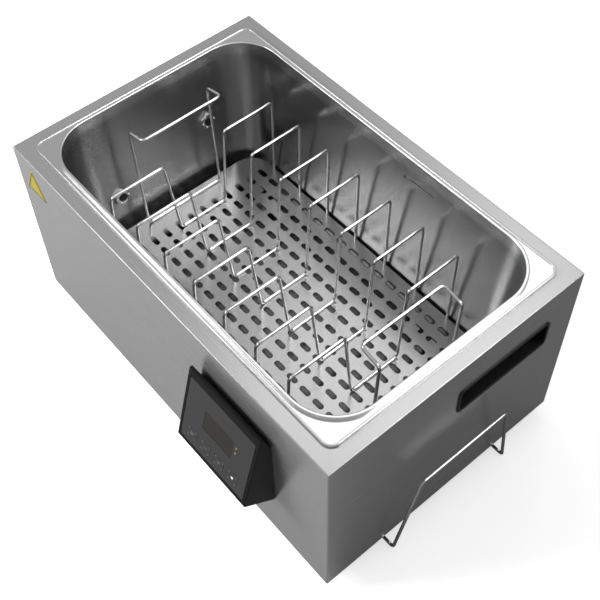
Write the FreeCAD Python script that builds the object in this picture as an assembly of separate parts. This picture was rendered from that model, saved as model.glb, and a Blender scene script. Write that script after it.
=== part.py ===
import FreeCAD, Part
import math
import os

# A static sous vide water bath: a stainless bath in a box-shaped casing, a control console on
# the front, a removable wire rack in the bath and a wire lid bracket on the right end.
#
# Millimetres. +X runs to the end with the lid bracket, +Y to the back, +Z up. Sizes below are
# taken from the middle of the casing's footprint; the part's own origin is the middle of the
# whole object's footprint, so every solid is moved by casing_x, casing_y when it is saved.

V = FreeCAD.Vector
UP = V(0, 0, 1)

# Casing
casing_length = 565.0
casing_width = 360.0
casing_bottom = 20.0
deck_z = 282.0
sheet = 1.0
fold_radius = 1.5
flange_width = 15.0
casing_x = -9.5
casing_y = 20.0

# Bath: a tapered tub with a stepped rim
opening_length = 508.0
opening_width = 304.0
opening_corner = 56.0
floor_length = 466.0
floor_width = 261.0
floor_corner = 33.0
floor_z = 82.0
floor_fillet = 20.0
bath_wall = 1.2
rim_length = 530.0
rim_width = 325.0
rim_corner = 13.0
seal_thickness = 0.8
bead_width = 3.0
bead_z = 285.2
lip_width = 4.5
lip_z = 288.0
deck_clearance = 3.0

# Rack
rack_x = 1.5
rack_y = 1.5
plate_z = 106.0
plate_length = 448.0
plate_width = 257.0
plate_corner = 30.0
plate_sheet = 1.2
plate_fold = 10.0
slot_length = 16.5
slot_width = 7.6
slot_columns = 17
slot_rows = 12
slot_pitch_x = 23.1
slot_pitch_y = 20.1
rack_wire = 4.0
divider_count = 7
divider_first_x = -179.6
divider_pitch = 55.2
divider_height = 125.4
divider_bend = 6.0
handle_rail_x = 213.5
handle_leg_y = 59.0
handle_leg_height = 164.6
handle_lean = 6.8
handle_arm = 28.5
handle_rise = 6.7

# Console on the front wall
console_x = 137.2
console_width = 118.6
console_top_out = 12.8
console_top_z = 240.3
console_foot_out = 41.5
console_foot_z = 135.2
console_wall_top_z = 215.0
console_wall_foot_z = 100.0
console_top_land = 4.5
console_wall = 2.5
gasket_thickness = 0.8
panel_width = 108.0
panel_height = 93.5
panel_v = -1.75
panel_groove = 0.8
panel_sheet = 2.0
ledge_thickness = 2.5
window_size = (48.0, 28.0)
window_at = (1.0, 6.0)
lamp_u = 30.0
lamp_v = (13.5, 6.0)
key_size = (15.6, 16.0)
key_u = (-36.6, -13.1, 10.1, 33.3)
key_v = -32.2
key_gap = 0.3
board_gap = 6.4
board_sheet = 1.6
dome_height = 0.9

# Lifting grips in both ends
grip_y = 68.0
grip_z = 215.5
grip_width = 138.0
grip_height = 43.0
grip_frame = 4.0
grip_depth = 24.0

# Lid bracket and its sockets under the base
bracket_wire = 4.0
bracket_y = 2.0
bracket_top_out = 18.5
bracket_top_z = 143.0
bracket_top_half = 64.5
bracket_low_out = 12.0
bracket_low_z = 5.5
bracket_low_half = 91.0
bracket_bend = 5.0
bracket_end_x = 240.0
socket_x = (236.0, 274.0)
socket_width = 12.0

# Base, feet and what stands on the base
base_z = 18.8
foot_x = 237.5
foot_y = 135.0
foot_radius = 16.0
post_x = 180.0
post_y = 80.0
stack_z = 65.3
board_at = (85.0, -100.0)
power_board_size = (150.0, 90.0)
power_board_z = 28.0
cutout_at = (60.0, -30.0)
inlet_x = -200.0
inlet_z = 60.0

end_wall = casing_length / 2
side_wall = casing_width / 2
bath_depth = deck_z - floor_z
end_slope = (opening_length - floor_length) / 2 / bath_depth
side_slope = (opening_width - floor_width) / 2 / bath_depth
corner_slope = (opening_corner - floor_corner) / bath_depth


# ---------------------------------------------------------------- shapes used throughout

def box(x0, x1, y0, y1, z0, z1):
    return Part.makeBox(x1 - x0, y1 - y0, z1 - z0, V(x0, y0, z0))


def rod(radius, start, end):
    axis = end - start
    return Part.makeCylinder(radius, axis.Length, start, axis)


def upright(radius, x, y, z0, z1):
    return rod(radius, V(x, y, z0), V(x, y, z1))


def round_rect(length, width, radius, z, x=0.0, y=0.0):
    """Outline of a rectangle with round corners, level at height z."""
    a = length / 2 - radius
    b = width / 2 - radius
    arcs = []
    for quarter, (sx, sy) in enumerate([(1, 1), (-1, 1), (-1, -1), (1, -1)]):
        middle = V(x + sx * a, y + sy * b, z)
        arcs.append(Part.makeCircle(radius, middle, UP, 90 * quarter, 90 * quarter + 90))
    edges = []
    for arc, following in zip(arcs, arcs[1:] + arcs[:1]):
        edges.append(arc)
        start = arc.valueAt(arc.LastParameter)
        end = following.valueAt(following.FirstParameter)
        if (end - start).Length > 1e-6:
            edges.append(Part.makeLine(start, end))
    return Part.Wire(edges)


def slab(length, width, radius, z0, z1, x=0.0, y=0.0):
    face = Part.Face(round_rect(length, width, radius, z0, x, y))
    return face.extrude(V(0, 0, z1 - z0))


def prism(points, along):
    """Solid swept from a closed polygon along a vector."""
    return Part.Face(Part.makePolygon(points + points[:1])).extrude(along)


def hexagon(across_flats, x, y, z0, z1):
    radius = across_flats / math.sqrt(3)
    angles = [math.radians(60 * k) for k in range(6)]
    points = [V(x + radius * math.cos(a), y + radius * math.sin(a), z0) for a in angles]
    return prism(points, V(0, 0, z1 - z0))


def joined(solids):
    """One solid from several that touch or overlap."""
    return solids[0].multiFuse(solids[1:]).removeSplitter()


def drilled(solid, radius, points, z0, z1):
    """The solid with upright holes at the (x, y) points."""
    return solid.cut([upright(radius, x, y, z0, z1) for x, y in points])


def level_edges(solid, z):
    """Edges of the solid that lie wholly at height z."""
    return [e for e in solid.Edges if max(abs(e.BoundBox.ZMin - z), abs(e.BoundBox.ZMax - z)) < 1e-4]


def bent_path(points, bend):
    """Straight runs through the points, joined by tangent arcs."""
    edges = []
    start = points[0]
    for before, corner, after in zip(points, points[1:], points[2:]):
        inward = (corner - before).normalize()
        onward = (after - corner).normalize()
        half_turn = inward.getAngle(onward) / 2
        setback = bend * math.tan(half_turn)
        arc_start = corner - inward * setback
        arc_end = corner + onward * setback
        to_centre = (onward - inward).normalize()
        middle = corner + to_centre * (bend / math.cos(half_turn) - bend)
        edges.append(Part.makeLine(start, arc_start))
        edges.append(Part.Arc(arc_start, middle, arc_end).toShape())
        start = arc_end
    edges.append(Part.makeLine(start, points[-1]))
    return Part.Wire(edges)


def bent_wire(points, bend, diameter):
    """Round wire bent along the points."""
    profile = Part.Wire(Part.makeCircle(diameter / 2, points[0], points[1] - points[0]))
    return bent_path(points, bend).makePipeShell([profile], True, False)


def save(name, *solids):
    shape = Part.makeCompound(list(solids)) if len(solids) > 1 else solids[0].copy()
    shape.translate(V(casing_x, casing_y, 0))
    shape.exportStep(f"parts/{name}.step")


os.makedirs("parts", exist_ok=True)

four_corners = [(sx, sy) for sx in (-1, 1) for sy in (-1, 1)]
foot_points = [(sx * foot_x, sy * foot_y) for sx, sy in four_corners]
post_points = [(sx * post_x, sy * post_y) for sx, sy in four_corners]
standoff_points = [
    (board_at[0] + sx * (power_board_size[0] / 2 - 5), board_at[1] + sy * (power_board_size[1] / 2 - 5))
    for sx, sy in four_corners
]
cover_screw_y = side_wall - sheet - flange_width / 2
cover_screw_x = end_wall - sheet - flange_width / 2
cover_points = [(x, sy * cover_screw_y) for x in (-200, -67, 67, 200) for sy in (-1, 1)]
cover_points += [(sx * cover_screw_x, sy * 45) for sx, sy in four_corners]
stud_points = [(x, sy * 158.6) for x in (-150, 0, 150) for sy in (-1, 1)]
stud_points += [(sx * 261.1, sy * 60) for sx, sy in four_corners]
socket_centres = [bracket_y - bracket_low_half, bracket_y + bracket_low_half]
rivet_points = [(sum(socket_x) / 2, y + dy) for y in socket_centres for dy in (-10, 10)]


# ---------------------------------------------------------------- console frame of reference
# Local u is +X, v runs up the sloping face, and w points out of it, with the face at w = 0.

face_rise = console_top_z - console_foot_z
face_run = console_foot_out - console_top_out
face_height = math.hypot(face_rise, face_run)
face_middle = V(
    console_x,
    -side_wall - (console_top_out + console_foot_out) / 2,
    (console_top_z + console_foot_z) / 2,
)
face_turn = math.degrees(math.acos(face_run / face_height))
on_face = FreeCAD.Placement(face_middle, FreeCAD.Rotation(V(1, 0, 0), face_turn))


def placed(solid, placement):
    moved = solid.copy()
    moved.Placement = placement.multiply(moved.Placement)
    return moved


def face_slab(width, height, radius, w0, w1, u=0.0, v=0.0):
    return placed(slab(width, height, radius, w0, w1, u, v), on_face)


def face_rod(radius, u, v, w0, w1):
    return placed(upright(radius, u, v, w0, w1), on_face)


# ---------------------------------------------------------------- bath

def bath_outline(z, grow=0.0):
    rise = z - floor_z
    return round_rect(
        floor_length + 2 * (end_slope * rise + grow),
        floor_width + 2 * (side_slope * rise + grow),
        floor_corner + corner_slope * rise + grow,
        z,
    )


def tub(z0, z1, grow, fillet):
    """Solid tub between two heights with its bottom edge rounded."""
    solid = Part.makeLoft([bath_outline(z0, grow), bath_outline(z1, grow)], True, True)
    return solid.makeFillet(fillet, level_edges(solid, z0))


def end_wall_inside(z):
    return floor_length / 2 + end_slope * (z - floor_z)


def side_wall_inside(z):
    return floor_width / 2 + side_slope * (z - floor_z)


flange_z = deck_z + seal_thickness
groove_z = flange_z + bath_wall

probe_places = {"probe_low": (-75.5, 152.0), "probe_high": (71.0, 190.0)}
probe_radius = 6.0
probe_hole = 6.2


def probe_placement(name):
    """Local +Z points into the bath, square to the end wall, with z = 0 on its inner face."""
    y, z = probe_places[name]
    inward = V(1, 0, end_slope)
    return FreeCAD.Placement(V(-end_wall_inside(z), y, z), FreeCAD.Rotation(UP, inward))


def make_tank():
    shell = tub(floor_z - bath_wall, flange_z, bath_wall, floor_fillet + bath_wall)
    flange = slab(rim_length, rim_width, rim_corner, flange_z, bead_z)
    groove = slab(
        rim_length - 2 * bead_width, rim_width - 2 * bead_width, rim_corner - bead_width, groove_z, bead_z
    )
    lip_outline = bath_outline(lip_z, lip_width)
    lip_outline.translate(V(0, 0, flange_z - lip_z))
    lip = Part.Face(lip_outline).extrude(V(0, 0, lip_z - flange_z))
    body = joined([shell, flange.cut(groove), lip])
    body = body.cut(tub(floor_z, lip_z + 2, 0, floor_fillet))
    body = body.makeFillet(1.5, level_edges(body, lip_z))
    body = body.makeFillet(1.1, level_edges(body, bead_z))
    holes = [placed(upright(probe_hole, 0, 0, -6, 6), probe_placement(name)) for name in probe_places]
    return body.cut(holes)


save("tank", make_tank())

seal = slab(rim_length - 2, rim_width - 2, rim_corner - 1, deck_z, flange_z)
deck_hole_length = opening_length + 2 * deck_clearance
deck_hole_width = opening_width + 2 * deck_clearance
deck_hole_corner = opening_corner + deck_clearance
seal = seal.cut(slab(deck_hole_length, deck_hole_width, deck_hole_corner, deck_z - 1, flange_z + 1))
save("tank_seal", drilled(seal, 1.6, stud_points, deck_z - 1, flange_z + 1))

save("rim_studs", *[upright(1.5, x, y, 272, flange_z) for x, y in stud_points])
nut_z = deck_z - sheet
nuts = [
    hexagon(5.5, x, y, nut_z - 2.6, nut_z).cut(upright(1.55, x, y, nut_z - 3, nut_z + 1))
    for x, y in stud_points
]
for x, y in foot_points:
    nut = hexagon(8, x, y, casing_bottom, casing_bottom + 4)
    nuts.append(nut.cut(upright(2.55, x, y, casing_bottom - 1, casing_bottom + 5)))
save("fastening_nuts", *nuts)


# ---------------------------------------------------------------- level mark and sensors

def make_level_mark():
    """Fill line and a small pointer, printed on the back wall of the bath."""
    z = 261.0
    outward = V(0, -1, side_slope)
    place = FreeCAD.Placement(V(71.5, side_wall_inside(z), z), FreeCAD.Rotation(UP, outward))
    line = box(-20, 20, -0.5, 0.5, 0, 0.25)
    pointer = prism([V(-27, 1, 0), V(-24, -4, 0), V(-30, -4, 0)], V(0, 0, 0.25))
    marks = []
    for mark in (line, pointer):
        marks.append(placed(mark, place))
    return marks


save("level_mark", *make_level_mark())

probe_nuts = []
probe_seals = []
for probe_name in probe_places:
    place = probe_placement(probe_name)
    body = joined([
        upright(probe_radius, 0, 0, -8, 6.5),
        upright(10, 0, 0, -5.2, -2.7),
        upright(7.5, 0, 0, -20, -5.2),
        upright(2.2, 0, 0, -26, -20),
    ])
    body = body.makeFillet(1.2, level_edges(body, 6.5))
    save(probe_name, placed(body, place))
    nut = hexagon(23, 0, 0, 0, 5).cut(upright(6.05, 0, 0, -1, 6))
    crown = Part.makeCone(12.9, 10.6, 3.2, V(0, 0, 1.8)).fuse(upright(14, 0, 0, -1, 1.8))
    probe_nuts.append(placed(nut.common(crown), place))
    probe_seals.append(placed(upright(10, 0, 0, -2.7, -bath_wall).cut(upright(6.05, 0, 0, -4, 0)), place))
save("probe_nuts", *probe_nuts)
save("probe_seals", *probe_seals)


# ---------------------------------------------------------------- casing

grip_cup_width = grip_width - 2 * grip_frame + 4
grip_cup_height = grip_height - 2 * grip_frame + 4


def end_slab(width, height, radius, x0, x1):
    """Round-cornered block square to X, at the grip's place, from x0 to x1."""
    block = slab(width, height, radius, 0, x1 - x0)
    turn = FreeCAD.Rotation(V(0, 1, 0), V(0, 0, 1), V(1, 0, 0), "XYZ")
    return placed(block, FreeCAD.Placement(V(x0, grip_y, grip_z), turn))


def make_casing():
    outer = box(-end_wall, end_wall, -side_wall, side_wall, casing_bottom, deck_z)
    folds = [e for e in outer.Edges if e.BoundBox.ZMax > deck_z - 1]
    outer = outer.makeFillet(fold_radius, folds)
    inner = box(
        -end_wall + sheet, end_wall - sheet, -side_wall + sheet, side_wall - sheet,
        casing_bottom + sheet, deck_z - sheet,
    )
    inset = sheet + flange_width
    mouth = box(
        -end_wall + inset, end_wall - inset, -side_wall + inset, side_wall - inset,
        casing_bottom - 1, casing_bottom + 2,
    )
    shell = outer.cut([inner, mouth])
    deck_hole = slab(deck_hole_length, deck_hole_width, deck_hole_corner, deck_z - 2, deck_z + 1)
    grip_hole = end_slab(
        grip_cup_width + 0.6, grip_cup_height + 0.6, 6.3, -end_wall - 2, end_wall + 2
    )
    cable_hole = box(console_x - 15, console_x + 15, -side_wall - 2, -side_wall + 3, 118, 142)
    inlet_hole = box(inlet_x - 13.8, inlet_x + 13.8, side_wall - 3, side_wall + 2, inlet_z - 10, inlet_z + 10)
    screws = [rod(1.6, V(x, -side_wall - 2, z), V(x, -side_wall + 3, z)) for x, z in console_screw_points]
    screws += [rod(1.6, V(x, side_wall - 3, inlet_z), V(x, side_wall + 2, inlet_z)) for x in inlet_screw_x]
    shell = shell.cut([deck_hole, grip_hole, cable_hole, inlet_hole] + screws)
    shell = drilled(shell, 1.6, stud_points, deck_z - 2, deck_z + 1)
    return drilled(shell, 1.8, cover_points, casing_bottom - 1, casing_bottom + 2)


console_screw_points = [(console_x + su * 52, z) for su in (-1, 1) for z in (112.0, 201.0)]
inlet_screw_x = (inlet_x - 20, inlet_x + 20)
save("casing_shell", make_casing())


def make_grip(side):
    """Recessed cup with a thin frame round it, snapped into the end wall."""
    face = end_wall + 1.5
    frame = end_slab(grip_width, grip_height, 7, end_wall, face)
    cup = end_slab(grip_cup_width, grip_cup_height, 6, face - grip_depth - 2, face)
    hollow = end_slab(grip_cup_width - 4, grip_cup_height - 4, 4, face - grip_depth, face + 1)
    inner = end_wall - sheet
    snaps = []
    for sy in (-1, 1):
        for sz in (-1, 1):
            y = grip_y + sy * 35
            z = grip_z + sz * (grip_cup_height / 2 - 0.5)
            wedge = [V(inner, y - 6, z), V(inner, y - 6, z + sz * 2), V(inner - 6, y - 6, z)]
            snaps.append(prism(wedge, V(0, 12, 0)))
    grip = joined([frame, cup] + snaps).cut(hollow)
    front = [e for e in grip.Edges if e.BoundBox.XMin > face - 1e-4]
    grip = grip.makeFillet(0.6, front)
    return grip if side > 0 else grip.mirror(V(0, 0, 0), V(1, 0, 0))


save("grip_right", make_grip(1))
save("grip_left", make_grip(-1))

label_half = 21.75
label_low = 226.8
label_high = 269.8
label_x = -245.7
label = prism(
    [
        V(label_x - label_half, -side_wall, label_low),
        V(label_x + label_half, -side_wall, label_low),
        V(label_x, -side_wall, label_high),
    ],
    V(0, -0.3, 0),
)
label = label.makeFillet(2.5, [e for e in label.Edges if abs(e.BoundBox.YLength - 0.3) < 0.01])
save("front_label", label)


# ---------------------------------------------------------------- base, feet and cover screws

def make_base():
    plate = slab(casing_length - 4, casing_width - 4, 2, base_z, casing_bottom)
    z0 = base_z - 1
    z1 = casing_bottom + 1
    plate = drilled(plate, 2.6, foot_points, z0, z1)
    plate = drilled(plate, 1.85, cover_points, z0, z1)
    plate = drilled(plate, 2.1, post_points, z0, z1)
    plate = drilled(plate, 1.6, standoff_points + rivet_points, z0, z1)
    vents = []
    for column in range(8):
        for row in range(2):
            vents.append(slab(6, 30, 2.9, z0, z1, -90 + 12 * column, 60 + 45 * row))
    return plate.cut(vents)


save("base_plate", make_base())

feet = []
foot_screws = []
for x, y in foot_points:
    foot = Part.makeCone(foot_radius - 2, foot_radius, base_z, V(x, y, 0))
    foot = foot.makeFillet(1.5, level_edges(foot, 0))
    feet.append(foot.cut([upright(6.5, x, y, -1, 9), upright(2.6, x, y, 8, base_z + 1)]))
    foot_screws.append(joined([upright(4.5, x, y, 6, 9), upright(2.5, x, y, 9, 26)]))
save("rubber_feet", *feet)
save("foot_screws", *foot_screws)


def pan_screw(x, y, head_radius, shank_radius, top):
    """Screw with its head under the base plate."""
    head = upright(head_radius, x, y, base_z - 2, base_z)
    head = head.makeFillet(0.9, level_edges(head, base_z - 2))
    return joined([head, upright(shank_radius, x, y, base_z, top)])


base_screws = [pan_screw(x, y, 3.4, 1.75, 25) for x, y in cover_points]
base_screws += [pan_screw(x, y, 4, 2, casing_bottom + 12) for x, y in post_points]
save("base_screws", *base_screws)


# ---------------------------------------------------------------- lid bracket

sockets = []
for y in socket_centres:
    x0, x1 = socket_x
    block = box(x0, x1, y - socket_width / 2, y + socket_width / 2, 1.5, base_z - 2)
    ears = box(x0, x1, y - 14, y + 14, base_z - 2, base_z)
    bore = rod(bracket_wire / 2 + 0.3, V(x0 + 1.5, y, bracket_low_z), V(x1 + 1, y, bracket_low_z))
    sockets.append(joined([block, ears]).cut(bore))
sockets = [drilled(socket, 1.6, rivet_points, base_z - 3, base_z + 1) for socket in sockets]
save("bracket_sockets", *sockets)
save("socket_rivets", *[
    joined([
        upright(3.2, x, y, base_z - 3.5, base_z - 2),
        upright(1.5, x, y, base_z - 2, casing_bottom),
        upright(2.6, x, y, casing_bottom, casing_bottom + 1.5),
    ])
    for x, y in rivet_points
])

top_x = end_wall + bracket_top_out
low_x = end_wall + bracket_low_out
save("lid_bracket", bent_wire(
    [
        V(bracket_end_x, bracket_y - bracket_low_half, bracket_low_z),
        V(low_x, bracket_y - bracket_low_half, bracket_low_z),
        V(top_x, bracket_y - bracket_top_half, bracket_top_z),
        V(top_x, bracket_y + bracket_top_half, bracket_top_z),
        V(low_x, bracket_y + bracket_low_half, bracket_low_z),
        V(bracket_end_x, bracket_y + bracket_low_half, bracket_low_z),
    ],
    bracket_bend,
    bracket_wire,
))


# ---------------------------------------------------------------- rack

def make_perforated_plate():
    z0 = plate_z - plate_sheet
    outline = round_rect(plate_length, plate_width, plate_corner, z0, rack_x, rack_y)
    slots = []
    for column in range(slot_columns):
        for row in range(slot_rows):
            x = rack_x + (column - (slot_columns - 1) / 2) * slot_pitch_x
            y = rack_y + (row - (slot_rows - 1) / 2) * slot_pitch_y
            slots.append(round_rect(slot_length, slot_width, slot_width / 2 - 0.01, z0, x, y))
    sheet_face = Part.makeFace([outline] + slots, "Part::FaceMakerBullseye")
    plate = sheet_face.extrude(V(0, 0, plate_sheet))
    folds = []
    for side in (-1, 1):
        edge = rack_y + side * plate_width / 2
        inner = edge - side * plate_sheet
        reach = plate_length / 2 - plate_corner - 2
        folds.append(box(
            rack_x - reach, rack_x + reach, min(edge, inner), max(edge, inner),
            plate_z - plate_fold, plate_z,
        ))
    return joined([plate] + folds)


def make_plate_feet():
    """Channels that stand across the bath floor and hold the plate off it."""
    feet = []
    low = floor_z + 0.3
    high = plate_z - plate_sheet
    t = plate_sheet
    profile = [
        (-22, high), (-10, high), (-10, low + t), (10, low + t), (10, high), (22, high),
        (22, high - t), (10 + t, high - t), (10 + t, low), (-10 - t, low), (-10 - t, high - t), (-22, high - t),
    ]
    for sx, sy in four_corners:
        x = rack_x + sx * 150
        y = rack_y + sy * 85 - 8
        feet.append(prism([V(x + px, y, pz) for px, pz in profile], V(0, 16, 0)))
    return feet


def make_divider(number):
    x = rack_x + divider_first_x + divider_pitch * number
    low = plate_z + rack_wire / 2
    high = plate_z + divider_height
    foot = plate_z
    route = [
        (-127.0, foot), (-121.4, high), (-43.1, high), (-30.5, low),
        (42.3, low), (50.1, high), (128.1, high), (127.0, foot),
    ]
    return bent_wire([V(x, rack_y + y, z) for y, z in route], divider_bend, rack_wire)


def make_handle(side):
    """Closed wire loop, butt-welded in the middle of its bottom rail."""
    rail = (handle_rail_x, plate_z + rack_wire / 2)
    knee = (handle_rail_x + handle_lean, plate_z + handle_leg_height)
    grip = (knee[0] - handle_arm, knee[1] + handle_rise)
    route = [(rail, 0.4), (rail, 1), (knee, 1), (grip, 1), (grip, -1), (knee, -1), (rail, -1), (rail, -0.4)]
    points = []
    for (x, z), share in route:
        y = handle_leg_y * share if abs(share) == 1 else share
        points.append(V(rack_x + side * x, rack_y + y, z))
    weld = rod(
        rack_wire / 2 + 0.25,
        V(rack_x + side * rail[0], rack_y - 2, rail[1] + 0.5),
        V(rack_x + side * rail[0], rack_y + 2, rail[1] + 0.5),
    )
    return joined([bent_wire(points, divider_bend, rack_wire), weld])


save("perforated_plate", make_perforated_plate())
save("plate_feet", *make_plate_feet())
for index in range(divider_count):
    save(f"divider_{index + 1}", make_divider(index))
save("rack_handle_right", make_handle(1))
save("rack_handle_left", make_handle(-1))


# ---------------------------------------------------------------- console

back_y = -side_wall - gasket_thickness
console_x0 = console_x - console_width / 2


def console_profile(shrink):
    """Side view of the housing as a face square to X, moved in by shrink all round."""
    land = on_face.multVec(V(0, face_height / 2, -console_top_land))
    corners = [
        (back_y, console_wall_top_z), (land.y, land.z), (-side_wall - console_top_out, console_top_z),
        (-side_wall - console_foot_out, console_foot_z), (back_y, console_wall_foot_z),
    ]
    points = [V(console_x0, y, z) for y, z in corners]
    face = Part.Face(Part.makePolygon(points + points[:1]))
    return face if shrink == 0 else Part.Face(face.OuterWire.makeOffset2D(-shrink))


def face_edges(solid):
    """The four edges round the sloping face."""
    found = []
    for e in solid.Edges:
        middle = on_face.inverse().multVec(e.valueAt((e.FirstParameter + e.LastParameter) / 2))
        if abs(middle.z) < 0.01:
            found.append(e)
    return found


def make_housing():
    outer = console_profile(0).extrude(V(console_width, 0, 0))
    outer = outer.makeFillet(1.5, face_edges(outer))
    hollow = console_profile(console_wall).extrude(V(console_width - 2 * console_wall, 0, 0))
    hollow.translate(V(console_wall, 0, 0))
    behind_ledge = face_slab(200, 260, 5, -80, -panel_sheet - ledge_thickness)
    hollow = hollow.common(behind_ledge)
    mouth = box(
        console_x0 + 9, console_x0 + console_width - 9, back_y - 4, back_y + 1,
        console_wall_foot_z + 9, console_wall_top_z - 9,
    )
    pocket = face_slab(
        panel_width + 2 * panel_groove, panel_height + 2 * panel_groove, 3, -panel_sheet, 3, 0, panel_v
    )
    through = face_slab(panel_width - 8, panel_height - 7, 2, -9, 0, 0, panel_v)
    body = outer.cut([hollow, mouth, pocket, through])
    pegs = [face_rod(2.3, u, v, -board_gap, -panel_sheet - ledge_thickness + 0.5) for u, v in peg_points]
    bosses = []
    holes = []
    for x, z in console_screw_points:
        bosses.append(rod(4, V(x, back_y - 8.2, z), V(x, back_y - 0.5, z)))
        holes.append(rod(1.55, V(x, back_y - 7.5, z), V(x, back_y + 1, z)))
    return joined([body] + pegs + bosses).cut(holes)


peg_points = [(su * 52.8, v) for su in (-1, 1) for v in (-43.0, 33.0)]
save("console_housing", make_housing())

gasket = box(
    console_x0 + 1, console_x0 + console_width - 1, back_y, -side_wall,
    console_wall_foot_z + 1, console_wall_top_z - 1,
)
gasket = gasket.cut([box(
    console_x0 + 12, console_x0 + console_width - 12, back_y - 1, -side_wall + 1,
    console_wall_foot_z + 9, console_wall_top_z - 9,
)])
gasket = gasket.cut([rod(1.6, V(x, back_y - 1, z), V(x, -side_wall + 1, z)) for x, z in console_screw_points])
save("console_gasket", gasket)

wall_screws = []
for x, z in console_screw_points:
    inside = -side_wall + sheet
    head = rod(2.8, V(x, inside, z), V(x, inside + 2, z))
    wall_screws.append(joined([head, rod(1.5, V(x, back_y - 7, z), V(x, inside, z))]))


def make_fascia():
    panel = face_slab(panel_width, panel_height, 2.2, -panel_sheet, 0, 0, panel_v)
    holes = [face_slab(window_size[0] + 0.4, window_size[1] + 0.4, 2.2, -5, 1, *window_at)]
    holes += [face_rod(1.8, lamp_u, v, -5, 1) for v in lamp_v]
    for u in key_u:
        holes.append(face_slab(key_size[0] + 2 * key_gap, key_size[1] + 2 * key_gap, 2.3, -5, 1, u, key_v))
    return panel.cut(holes)


save("console_fascia", make_fascia())
save("display_window", face_slab(*window_size, 2, -panel_sheet, -0.2, *window_at))

lamps = []
for v in lamp_v:
    lens = upright(1.5, lamp_u, v, -board_gap, 0.5)
    lamps.append(placed(lens.makeFillet(1.2, level_edges(lens, 0.5)), on_face))
save("indicator_leds", *lamps)


def make_key(u):
    """Cap level with the panel, a rim behind the panel that keeps it in, and a stem to the dome."""
    cap = face_slab(*key_size, 2, -panel_sheet - key_gap, 0.1, u, key_v)
    rim = face_slab(
        key_size[0] + 3, key_size[1] + 3, 3, -panel_sheet - key_gap - 0.8, -panel_sheet - key_gap, u, key_v
    )
    stem = face_rod(2.5, u, key_v, -board_gap + dome_height + 0.9, -panel_sheet - key_gap - 0.8)
    return joined([cap, rim, stem])


for key_name, u in zip(("set_key", "minus_key", "plus_key", "power_key"), key_u):
    save(key_name, make_key(u))

board = face_slab(107, 84, 2, -board_gap - board_sheet, -board_gap, 0, -5)
save("console_board", board)
domes = []
for u in key_u:
    top = -board_gap + dome_height
    dome = Part.makeCone(3.5, 2.2, dome_height, V(u, key_v, -board_gap), UP)
    domes.append(placed(dome, on_face))
save("key_domes", *domes)
save("display_module", face_slab(50, 30, 1.5, -board_gap, -2.9, *window_at))


# ---------------------------------------------------------------- heater under the bath

under_bath = floor_z - bath_wall
mat_z = under_bath - 2.5
insulation_z = stack_z + 1.5


def heater_layer(length, width, radius, z0, z1):
    return drilled(slab(length, width, radius, z0, z1), 16, [cutout_at], z0 - 1, z1 + 1)


save("heater_mat", heater_layer(400, 200, 15, mat_z, under_bath))
save("insulation_board", heater_layer(404, 204, 12, insulation_z, mat_z))
save("press_plate", heater_layer(420, 220, 4, stack_z, insulation_z))

cutout_x, cutout_y = cutout_at
tabs = [box(cutout_x + dx - 3, cutout_x + dx + 3, cutout_y - 0.4, cutout_y + 0.4, 60, 70) for dx in (-6, 6)]
save("thermal_cutout", joined([upright(12, cutout_x, cutout_y, under_bath - 12, under_bath)] + tabs))

posts = []
for x, y in post_points:
    post = upright(5, x, y, casing_bottom, stack_z)
    posts.append(post.cut(upright(2.05, x, y, casing_bottom - 1, casing_bottom + 14)))
save("support_posts", *posts)


# ---------------------------------------------------------------- power electronics

board_x, board_y = board_at
board_top = power_board_z + board_sheet
power_board = slab(*power_board_size, 2, power_board_z, board_top, board_x, board_y)
power_board = drilled(power_board, 1.6, standoff_points, power_board_z - 1, board_top + 1)
connector = box(console_x - 10, console_x + 10, -139, -130, board_top, board_top + 6)
save("power_board", joined([power_board, connector]))
save("board_standoffs", *[
    joined([
        upright(3, x, y, casing_bottom, power_board_z),
        upright(1.5, x, y, base_z + 0.1, casing_bottom),
        upright(1.5, x, y, power_board_z, board_top + 2),
    ])
    for x, y in standoff_points
])
transformer_x = board_x - 40
core = box(transformer_x - 21, transformer_x + 21, board_y - 8, board_y + 8, board_top, board_top + 30)
coil = slab(28, 34, 4, board_top + 6, board_top + 24, transformer_x, board_y)
save("transformer", joined([core, coil]))
relays = []
for dy in (-16, 16):
    relay = box(board_x + 5, board_x + 33, board_y + dy - 6, board_y + dy + 6, board_top, board_top + 24)
    relays.append(relay.makeFillet(1, level_edges(relay, board_top + 24)))
save("relays", *relays)

block_x = inlet_x + 60
block_y = 120.0
terminal = box(block_x - 30, block_x + 30, block_y - 8, block_y + 8, casing_bottom, casing_bottom + 12)
barriers = [
    box(block_x + dx - 1, block_x + dx + 1, block_y - 8, block_y + 8, casing_bottom, casing_bottom + 18)
    for dx in (-29, -9.7, 9.7, 29)
]
save("terminal_block", joined([terminal] + barriers))
earth_x, earth_y = -60.0, 130.0
save("earth_stud", joined([
    upright(2.5, earth_x, earth_y, casing_bottom, casing_bottom + 18),
    hexagon(8, earth_x, earth_y, casing_bottom, casing_bottom + 4),
    upright(5.5, earth_x, earth_y, casing_bottom + 4, casing_bottom + 5),
]))


# ---------------------------------------------------------------- appliance inlet in the back

def back_slab(width, height, radius, y0, y1):
    """Round-cornered block square to Y at the inlet's place, from y0 to y1."""
    block = slab(width, height, radius, 0, y1 - y0)
    turn = FreeCAD.Rotation(V(1, 0, 0), V(0, 0, -1), V(0, 1, 0), "XYZ")
    return placed(block, FreeCAD.Placement(V(inlet_x, y0, inlet_z), turn))


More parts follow.
